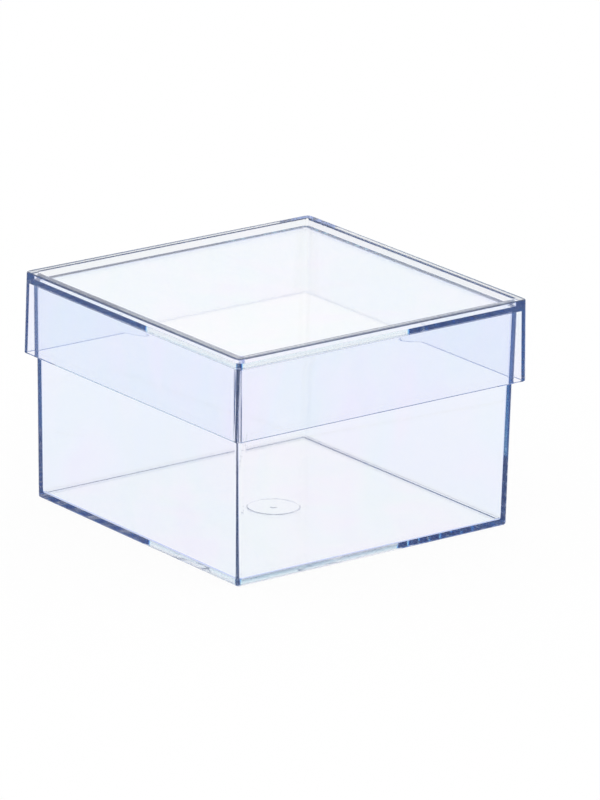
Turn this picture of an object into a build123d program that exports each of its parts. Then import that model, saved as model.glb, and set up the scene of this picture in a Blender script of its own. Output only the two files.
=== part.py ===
from build123d import *
import math
import os

# Clear moulded storage box: an open base, and a lid whose skirt slips down over it.
# The origin is under the middle of the base, +Z is up, and the lid is on.
# Lengths are millimetres, angles are degrees.

# The closed box
lid_width = 90.6
closed_height = 60.0

# Lid: a plate with a skirt below it and a low stacking rim above it, all round
plate_thickness = 1.3
skirt_depth = 21.5
skirt_wall = 1.45
lid_draft_angle = 1.12
lid_corner_radius = 1.4
recess_corner_radius = 0.6
rim_height = 1.8
rim_top_width = 2.0
rim_foot_width = 2.6
rim_outer_round = 0.45
rim_inner_round = 0.6
plate_corner_round = 0.15
skirt_edge_round = 0.2

# Gap between the skirt and the mouth of the base, on each side
side_clearance = 0.15

# Base: a floor, and four walls that lean outwards up to the mouth
floor_thickness = 1.4
base_wall = 1.75
base_draft_angle = 0.98
base_corner_radius = 1.3
base_inner_corner_radius = 0.4
foot_round = 0.6
floor_inner_round = 0.2
mouth_round = 0.3

# Gate mark: a round dish under the floor, where the plastic was fed in. It keeps the
# broken tip of the feed clear of the table.
gate_diameter = 13.5
gate_depth = 0.5
gate_edge_bevel = 0.15
gate_tip_root_diameter = 1.7
gate_tip_end_diameter = 0.5
gate_tip_clearance = 0.1

# How far a cut runs past the face that it opens
overrun = 1.0


def lean(draft_angle, height):
    """How far a wall that leans by the draft angle moves over a height."""
    return height * math.tan(math.radians(draft_angle))


# Levels and sides that follow from the sizes above
recess_level = closed_height - rim_height
plate_under_level = recess_level - plate_thickness
skirt_edge_level = closed_height - skirt_depth
base_height = plate_under_level

skirt_edge_side = lid_width + 2 * lean(lid_draft_angle, skirt_depth)
side_at_plate = lid_width + 2 * lean(lid_draft_angle, closed_height - plate_under_level)
mouth_side = side_at_plate - 2 * (skirt_wall + side_clearance)
foot_side = mouth_side - 2 * lean(base_draft_angle, base_height)


def leaning_block(square, low_level, height, draft_angle):
    """A block whose sides lean outwards as they rise from its lowest square."""
    return Pos(0, 0, low_level) * extrude(square, amount=height, taper=-draft_angle)


def round_square(side, corner_radius):
    """A square with round corners."""
    square = Rectangle(side, side)
    return fillet(square.vertices(), corner_radius)


def round_bottom(solid, radius):
    """Rounds the lowest edges of a solid."""
    return fillet(solid.edges().group_by(Axis.Z)[0], radius)


def round_top(solid, radius):
    """Rounds the highest edges of a solid."""
    return fillet(solid.edges().group_by(Axis.Z)[-1], radius)


def make_base():
    """The open box: its outside less its inside, with the gate mark under the floor."""
    outside = leaning_block(
        round_square(foot_side, base_corner_radius), 0, base_height, base_draft_angle
    )
    outside = round_bottom(outside, foot_round)

    inner_side = foot_side + 2 * (lean(base_draft_angle, floor_thickness) - base_wall)
    inside = leaning_block(
        round_square(inner_side, base_inner_corner_radius),
        floor_thickness,
        base_height - floor_thickness + overrun,
        base_draft_angle,
    )
    inside = round_bottom(inside, floor_inner_round)

    shell = round_top(outside - inside, mouth_round)
    return shell - make_gate_dish() + make_gate_tip()


def make_gate_dish():
    """The round hollow under the floor, with its upper edge bevelled."""
    dish = Cylinder(
        gate_diameter / 2,
        gate_depth + overrun,
        align=(Align.CENTER, Align.CENTER, Align.MIN),
    )
    dish = Pos(0, 0, -overrun) * dish
    return chamfer(dish.edges().group_by(Axis.Z)[-1], gate_edge_bevel)


def make_gate_tip():
    """The broken tip of the feed, which hangs from the roof of the dish."""
    tip = Cone(
        gate_tip_end_diameter / 2,
        gate_tip_root_diameter / 2,
        gate_depth - gate_tip_clearance,
        align=(Align.CENTER, Align.CENTER, Align.MIN),
    )
    return Pos(0, 0, gate_tip_clearance) * tip


def make_lid():
    """The plate with its skirt below and its rim above, cut from one block."""
    outside = leaning_block(
        round_square(skirt_edge_side, lid_corner_radius),
        skirt_edge_level,
        skirt_depth,
        -lid_draft_angle,
    )
    lid = outside - make_lid_hollow() - make_lid_recess()
    lid = round_bottom(lid, skirt_edge_round)
    lid = fillet(rim_top(lid).inner_wires()[0].edges(), rim_inner_round)
    return fillet(rim_top(lid).outer_wire().edges(), rim_outer_round)


def make_lid_hollow():
    """What the skirt and the plate enclose. Its corners are sharp, as a ground core leaves them."""
    low_level = skirt_edge_level - overrun
    side = skirt_edge_side + 2 * (lean(lid_draft_angle, overrun) - skirt_wall)
    hollow = leaning_block(
        Rectangle(side, side), low_level, plate_under_level - low_level, -lid_draft_angle
    )
    return round_top(hollow, plate_corner_round)


def make_lid_recess():
    """The shallow hollow above the plate. The rim's inner face slopes down to its floor."""
    side = lid_width - 2 * rim_foot_width
    slope_angle = math.degrees(math.atan((rim_foot_width - rim_top_width) / rim_height))
    return leaning_block(
        round_square(side, recess_corner_radius), recess_level, rim_height + overrun, slope_angle
    )


def rim_top(lid):
    """The flat top of the rim."""
    return lid.faces().sort_by(Axis.Z)[-1]


def main():
    os.makedirs("parts", exist_ok=True)
    export_step(make_base(), "parts/base.step")
    export_step(make_lid(), "parts/lid.step")


main()
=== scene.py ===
import math

import bmesh
import bpy
from mathutils import Matrix, Vector


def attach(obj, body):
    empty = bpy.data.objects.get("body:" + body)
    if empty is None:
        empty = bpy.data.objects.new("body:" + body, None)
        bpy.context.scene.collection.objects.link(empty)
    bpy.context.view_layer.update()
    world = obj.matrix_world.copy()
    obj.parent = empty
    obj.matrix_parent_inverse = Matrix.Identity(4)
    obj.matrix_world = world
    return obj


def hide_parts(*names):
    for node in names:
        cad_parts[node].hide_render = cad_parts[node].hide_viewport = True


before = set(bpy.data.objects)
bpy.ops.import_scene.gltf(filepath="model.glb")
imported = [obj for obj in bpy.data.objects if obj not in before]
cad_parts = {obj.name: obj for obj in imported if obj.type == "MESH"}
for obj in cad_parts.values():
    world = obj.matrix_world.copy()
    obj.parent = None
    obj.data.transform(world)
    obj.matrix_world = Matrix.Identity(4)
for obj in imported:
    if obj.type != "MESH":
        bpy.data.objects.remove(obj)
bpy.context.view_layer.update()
scene = bpy.context.scene

# Base: the open box, one injection moulding in clear polystyrene. Its walls lean out so that the
# core draws, and the core leaves sharp corners inside. The plastic was fed in under the middle of
# the floor, where a shallow round dish holds the feed's broken tip, with a low pad above it.
MM = 0.001
MOUTH_SIDE, FOOT_SIDE = 87.52, 85.57
BASE_HEIGHT, FLOOR, BASE_WALL = 56.9, 1.4, 1.75
BASE_CORNER, CORE_CORNER = 1.3, 0.06
FOOT_ROUND, FLOOR_ROUND, MOUTH_ROUND = 0.6, 0.7, 0.25
LIP_HEIGHT, LIP_GROWTH, LIP_STEPS = 3.0, 0.08, 20
GATE_DISH, GATE_DEPTH, GATE_ROUND = 13.5, 0.15, 0.06
GATE_TIP_ROOT, GATE_TIP_END, GATE_TIP_GAP = 1.8, 0.5, 0.02
PAD_WIDTH, PAD_HEIGHT, PAD_SLOPE, PAD_ROUND = 13.7, 0.12, 0.12, 0.05

# Half the width of the small disc that closes a flat face in its middle
DISC = 1.0

# Points of a mesh that are closer than this become one
WELD = 1e-4


def rounded(corners, steps=8):
    """A section of (half width, corner centre, level, round) as points, its corners rounded."""
    points = []
    for i, (half, centre, level, radius) in enumerate(corners):
        if not radius or i in (0, len(corners) - 1):
            points.append((half, centre, level))
            continue
        here = Vector((half, level))
        before = (Vector((corners[i - 1][0], corners[i - 1][2])) - here).normalized()
        after = (Vector((corners[i + 1][0], corners[i + 1][2])) - here).normalized()
        half_angle = math.acos(max(-1, min(1, before.dot(after)))) / 2
        back = radius / math.tan(half_angle)
        middle = here + (before + after).normalized() * (radius / math.sin(half_angle))
        start = here + before * back - middle
        end = here + after * back - middle
        turn = math.atan2(start.x * end.y - start.y * end.x, start.dot(end))
        for k in range(steps + 1):
            spoke = middle + Matrix.Rotation(turn * k / steps, 2) @ start
            points.append((spoke.x, centre, spoke.y))
    return points


def square_ring(mesh, half, centre, level, steps=16):
    """One level's outline: a square of that half width, rounded from that corner centre. A
    centre of 0 gives a circle."""
    centre = min(centre, half)
    ring = []
    for turn, (side_x, side_y) in enumerate(((1, 1), (-1, 1), (-1, -1), (1, -1))):
        for i in range(steps + 1):
            angle = math.radians(90 * (turn + i / steps))
            x = side_x * centre + (half - centre) * math.cos(angle)
            y = side_y * centre + (half - centre) * math.sin(angle)
            ring.append(mesh.verts.new((x * MM, y * MM, level * MM)))
    return ring


def moulding(name, section):
    """A closed body with an outline for each point of the section, from middle to middle."""
    mesh = bmesh.new()
    rings = [square_ring(mesh, *point) for point in section]
    for low, high in zip(rings, rings[1:]):
        for i in range(len(low)):
            j = (i + 1) % len(low)
            mesh.faces.new((low[i], low[j], high[j], high[i]))
    mesh.faces.new(rings[0])
    mesh.faces.new(rings[-1])
    bmesh.ops.remove_doubles(mesh, verts=mesh.verts, dist=WELD * MM)
    bmesh.ops.recalc_face_normals(mesh, faces=mesh.faces)
    data = bpy.data.meshes.new(name)
    mesh.to_mesh(data)
    mesh.free()
    piece = bpy.data.objects.new(name, data)
    scene.collection.objects.link(piece)
    return piece


def linear(hex_colour):
    """An sRGB hex colour as the linear RGBA that a shader takes."""
    parts = [int(hex_colour[i:i + 2], 16) / 255 for i in (1, 3, 5)]
    return (*[c / 12.92 if c <= 0.04045 else ((c + 0.055) / 1.055) ** 2.4 for c in parts], 1)


def add(tree, kind, settings=None, values=None, links=None, stops=()):
    """Adds one node, sets its properties and its inputs' values, links its inputs, and gives a
    colour ramp its stops, each a place and an sRGB hex colour."""
    node = tree.nodes.new(kind)
    for key, value in (settings or {}).items():
        setattr(node, key, value)
    for key, value in (values or {}).items():
        node.inputs[key].default_value = value
    for key, source in (links or {}).items():
        tree.links.new(source, node.inputs[key])
    elements = node.color_ramp.elements if stops else ()
    while len(elements) < len(stops):
        elements.new(0.5)
    for element, (place, colour) in zip(elements, stops):
        element.position = place
        element.color = linear(colour)
    return node


# Moulded clear polystyrene: as clear as glass, and it bends light as strongly. The mould's polish
# leaves it just short of a mirror. The flow froze some stress into it, which shows as very faint
# pink, green and blue patches a few centimetres wide and as a ripple too shallow to feel.
POLYSTYRENE_IOR, MOULD_POLISH = 1.59, 0.03
PATCH_WIDTH, RIPPLE_WIDTH, RIPPLE_HEIGHT = 26.3, 11.1, 0.02
FLOW_STRETCH = (1, 1, 0.6)
PATCH_TINTS = (
    (0.32, "#FFFDFF"), (0.42, "#FFFFFF"), (0.50, "#FDFFFE"), (0.58, "#FDFFFF"), (0.68, "#FFFEFF"),
)


def moulded_polystyrene(name, shift):
    """The clear plastic of one moulding. The shift gives each moulding patches of its own."""
    material = bpy.data.materials.new(name)
    material.use_nodes = True
    tree = material.node_tree
    plastic = tree.nodes["Principled BSDF"]
    plastic.inputs["Roughness"].default_value = MOULD_POLISH
    plastic.inputs["IOR"].default_value = POLYSTYRENE_IOR
    plastic.inputs["Transmission Weight"].default_value = 1.0
    place = add(tree, "ShaderNodeTexCoord").outputs["Object"]
    flow = add(
        tree, "ShaderNodeMapping",
        values={"Location": (shift, shift, shift), "Scale": FLOW_STRETCH}, links={"Vector": place},
    ).outputs["Vector"]
    patches = add(
        tree, "ShaderNodeTexNoise",
        values={
            "Scale": 1 / (PATCH_WIDTH * MM), "Detail": 2.0, "Roughness": 0.45, "Distortion": 0.6,
        },
        links={"Vector": flow},
    ).outputs["Fac"]
    tint = add(tree, "ShaderNodeValToRGB", links={"Fac": patches}, stops=PATCH_TINTS)
    tree.links.new(tint.outputs["Color"], plastic.inputs["Base Color"])
    ripple = add(
        tree, "ShaderNodeTexNoise", values={"Scale": 1 / (RIPPLE_WIDTH * MM), "Detail": 1.0},
        links={"Vector": flow},
    ).outputs["Fac"]
    bump = add(
        tree, "ShaderNodeBump", values={"Strength": 0.1, "Distance": RIPPLE_HEIGHT * MM},
        links={"Height": ripple},
    )
    tree.links.new(bump.outputs["Normal"], plastic.inputs["Normal"])
    return material


# The lip: over the last millimetres below the mouth the wall grows a little thicker, inwards
mouth_half = MOUTH_SIDE / 2
foot_half = FOOT_SIDE / 2
lean = (mouth_half - foot_half) / BASE_HEIGHT
corner_outside = foot_half - BASE_CORNER
corner_inside = foot_half - BASE_WALL - CORE_CORNER
lip = []
for step in range(1, LIP_STEPS + 1):
    down = LIP_HEIGHT * step / LIP_STEPS
    growth = LIP_GROWTH * (1 + math.cos(math.pi * step / LIP_STEPS)) / 2
    wall_inside = mouth_half - lean * down - BASE_WALL - growth
    lip.append((wall_inside, corner_inside, BASE_HEIGHT - down, 0))

base = moulding("base_moulding", rounded([
    (GATE_TIP_END / 2, 0, GATE_TIP_GAP, 0),
    (GATE_TIP_ROOT / 2, 0, GATE_DEPTH, 0),
    (GATE_DISH / 2, 0, GATE_DEPTH, GATE_ROUND),
    (GATE_DISH / 2, 0, 0, GATE_ROUND / 2),
    (foot_half, corner_outside, 0, FOOT_ROUND),
    (mouth_half, corner_outside, BASE_HEIGHT, MOUTH_ROUND),
    (mouth_half - BASE_WALL - LIP_GROWTH, corner_inside, BASE_HEIGHT, MOUTH_ROUND),
    *lip,
    (foot_half - BASE_WALL + lean * FLOOR, corner_inside, FLOOR, FLOOR_ROUND),
    (PAD_WIDTH / 2, 0, FLOOR, PAD_ROUND),
    (PAD_WIDTH / 2 - PAD_SLOPE, 0, FLOOR + PAD_HEIGHT, PAD_ROUND),
    (DISC, 0, FLOOR + PAD_HEIGHT, 0),
]))
base.data.materials.append(moulded_polystyrene("moulded_clear_polystyrene_base", 0.0))
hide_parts("base")
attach(base, "box")

# Lid: a second moulding in the same clear polystyrene. Its skirt slips down over the mouth of
# the base, its plate rests on the mouth, and a low rim stands up round the plate so that the
# next box stacks inside it.
LID_WIDTH, CLOSED_HEIGHT, SKIRT_DEPTH = 90.6, 60.0, 21.5
SKIRT_SIDE, SKIRT_WALL, PLATE = 91.43, 1.45, 1.3
LID_CORNER, RECESS_CORNER = 1.4, 0.6
RIM_HEIGHT, RIM_TOP, RIM_FOOT = 1.8, 2.45, 2.6
RIM_OUTER_ROUND, RIM_INNER_ROUND, RECESS_ROUND = 0.45, 0.6, 0.03
PLATE_ROUND, EDGE_ROUND = 0.1, 0.2

lid_half = LID_WIDTH / 2
skirt_half = SKIRT_SIDE / 2
lid_lean = (skirt_half - lid_half) / SKIRT_DEPTH
recess_level = CLOSED_HEIGHT - RIM_HEIGHT
plate_under = recess_level - PLATE
skirt_edge = CLOSED_HEIGHT - SKIRT_DEPTH
under_half = lid_half + lid_lean * (CLOSED_HEIGHT - plate_under) - SKIRT_WALL
corner_skirt = lid_half - LID_CORNER
corner_hollow = under_half - CORE_CORNER
corner_recess = lid_half - RIM_FOOT - RECESS_CORNER

lid = moulding("lid_moulding", rounded([
    (DISC, 0, recess_level, 0),
    (lid_half - RIM_FOOT, corner_recess, recess_level, RECESS_ROUND),
    (lid_half - RIM_TOP, corner_recess, CLOSED_HEIGHT, RIM_INNER_ROUND),
    (lid_half, corner_skirt, CLOSED_HEIGHT, RIM_OUTER_ROUND),
    (skirt_half, corner_skirt, skirt_edge, EDGE_ROUND),
    (skirt_half - SKIRT_WALL, corner_hollow, skirt_edge, EDGE_ROUND),
    (under_half, corner_hollow, plate_under, PLATE_ROUND),
    (DISC, 0, plate_under, 0),
]))
lid.data.materials.append(moulded_polystyrene("moulded_clear_polystyrene_lid", 3.7))
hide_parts("lid")
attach(lid, "cover")

# Camera: a long lens from the front left, a little above, as the corners of the photograph fix
# it. It stands about 1.9 m away, so the box's edges stay nearly parallel.
IMAGE_HEIGHT, FOCAL_PIXELS = 800, 7413.6
SENSOR = 36.0
CAMERA_AT = (-1086.5, -1419.7, 603.8)
CAMERA_YAW, CAMERA_PITCH, CAMERA_ROLL = 37.644, 17.805, 1.057
CLIP_METRES = 50

yaw = math.radians(CAMERA_YAW)
pitch = math.radians(CAMERA_PITCH)
roll = math.radians(CAMERA_ROLL)
heading = Vector((math.sin(yaw), math.cos(yaw), 0))
across = Vector((math.cos(yaw), -math.sin(yaw), 0))
ahead = heading * math.cos(pitch) - Vector((0, 0, math.sin(pitch)))
above = across.cross(ahead)
right = across * math.cos(roll) + above * math.sin(roll)
up = above * math.cos(roll) - across * math.sin(roll)
turned = Matrix((right, up, -ahead)).transposed().to_4x4()
camera = bpy.data.objects.new("camera", bpy.data.cameras.new("camera"))
camera.matrix_world = Matrix.Translation(Vector(CAMERA_AT) * MM) @ turned
camera.data.sensor_width = SENSOR
camera.data.lens = FOCAL_PIXELS / IMAGE_HEIGHT * SENSOR
camera.data.clip_end = CLIP_METRES
scene.collection.objects.link(camera)
scene.camera = camera

# Table: a plain top in matt white laminate, white to the camera and through the clear plastic. A
# small share of it is lit as a matt surface, so that it keeps the box's faint shadow. A ray that
# the plastic has mirrored passes through it and meets the studio.
TABLE_METRES, TABLE_DROP, MATT_SHARE = 6.0, 0.05, 0.06
WHITE, BLACK = "#FFFFFF", "#000000"

bpy.ops.mesh.primitive_plane_add(size=TABLE_METRES, location=(0, 0, -TABLE_DROP * MM))
table = bpy.context.object
table.name = "table"
laminate = bpy.data.materials.new("matt_white_laminate")
laminate.use_nodes = True
tree = laminate.node_tree
tree.nodes.clear()
path = add(tree, "ShaderNodeLightPath")
seen = add(
    tree, "ShaderNodeMath", {"operation": "MAXIMUM"},
    links={0: path.outputs["Is Camera Ray"], 1: path.outputs["Is Transmission Ray"]},
)
mirrored = add(
    tree, "ShaderNodeMath", {"operation": "GREATER_THAN"}, {1: 0.5}, {0: path.outputs["Glossy Depth"]}
)
matt = add(tree, "ShaderNodeBsdfDiffuse", values={"Color": linear(WHITE)})
glow = add(tree, "ShaderNodeEmission", values={"Color": linear(WHITE)})
shown = add(
    tree, "ShaderNodeMixShader", values={0: MATT_SHARE}, links={1: glow.outputs[0], 2: matt.outputs[0]}
)
direct = add(
    tree, "ShaderNodeMixShader",
    links={0: seen.outputs[0], 1: matt.outputs[0], 2: shown.outputs[0]},
)
gone = add(tree, "ShaderNodeBsdfTransparent")
top = add(
    tree, "ShaderNodeMixShader",
    links={0: mirrored.outputs[0], 1: direct.outputs[0], 2: gone.outputs[0]},
)
add(tree, "ShaderNodeOutputMaterial", links={0: top.outputs[0]})
table.data.materials.append(laminate)

# Studio: soft white light all round. To a ray that the plastic has mirrored, the sides of the
# room are pale blue, and the more often it was mirrored the darker they are, down to navy. The
# lit backdrop behind the box and the ceiling stay white.
PALE_BLUE, MID_BLUE, NAVY = "#BFCEFF", "#819EE1", "#213061"

# Where the navy meets white, polystyrene splits the light into colours. Cycles doesn't trace
# that, so these two fringes stand for it.
FRINGE_BLUE, FRINGE_CYAN = "#387BF3", "#95E7FF"

# Each view: how many mirrorings it takes more than, and its colours from the camera's side of the
# room, at 0, to the backdrop, at 1
VIEWS = (
    (0, ((0.70, PALE_BLUE), (0.86, WHITE))),
    (2, ((0.70, MID_BLUE), (0.86, WHITE))),
    (6, (
        (0.0, FRINGE_CYAN), (0.035, FRINGE_BLUE), (0.07, NAVY),
        (0.92, NAVY), (0.945, FRINGE_BLUE), (0.96, FRINGE_CYAN), (0.975, WHITE),
    )),
)
CEILING = ((0.75, BLACK), (0.90, WHITE))

world = bpy.data.worlds.new("studio")
scene.world = world
world.use_nodes = True
tree = world.node_tree
tree.nodes.clear()
path = add(tree, "ShaderNodeLightPath")
direction = add(tree, "ShaderNodeTexCoord").outputs["Generated"]
towards = add(
    tree, "ShaderNodeVectorMath", {"operation": "DOT_PRODUCT"}, {1: heading}, {0: direction}
)
behind = add(
    tree, "ShaderNodeMath", {"operation": "MULTIPLY_ADD"}, {1: 0.5, 2: 0.5},
    {0: towards.outputs["Value"]},
)
white = add(tree, "ShaderNodeRGB")
white.outputs[0].default_value = linear(WHITE)
sight = white.outputs[0]
for mirrorings, stops in VIEWS:
    mirrored = add(
        tree, "ShaderNodeMath", {"operation": "GREATER_THAN"}, {1: mirrorings + 0.5},
        {0: path.outputs["Glossy Depth"]},
    )
    view = add(tree, "ShaderNodeValToRGB", links={0: behind.outputs[0]}, stops=stops)
    sight = add(
        tree, "ShaderNodeMix", {"data_type": "RGBA"},
        links={0: mirrored.outputs[0], 6: sight, 7: view.outputs[0]},
    ).outputs[2]
height = add(tree, "ShaderNodeSeparateXYZ", links={0: direction})
ceiling = add(tree, "ShaderNodeValToRGB", links={0: height.outputs["Z"]}, stops=CEILING)
room = add(
    tree, "ShaderNodeMix", {"data_type": "RGBA"},
    links={0: ceiling.outputs[0], 6: sight, 7: white.outputs[0]},
)
scattered = add(
    tree, "ShaderNodeMath", {"operation": "GREATER_THAN"}, {1: 0.5}, {0: path.outputs["Diffuse Depth"]}
)
light = add(
    tree, "ShaderNodeMix", {"data_type": "RGBA"},
    links={0: scattered.outputs[0], 6: room.outputs[2], 7: white.outputs[0]},
)
background = add(tree, "ShaderNodeBackground", links={0: light.outputs[2]})
add(tree, "ShaderNodeOutputWorld", links={0: background.outputs[0]})

# Light paths: a ray runs the length of a wall and is mirrored dozens of times on the way
BOUNCES = 160
scene.cycles.max_bounces = BOUNCES
scene.cycles.transmission_bounces = BOUNCES
scene.cycles.glossy_bounces = BOUNCES
scene.cycles.transparent_max_bounces = BOUNCES
scene.view_settings.view_transform = "Standard"
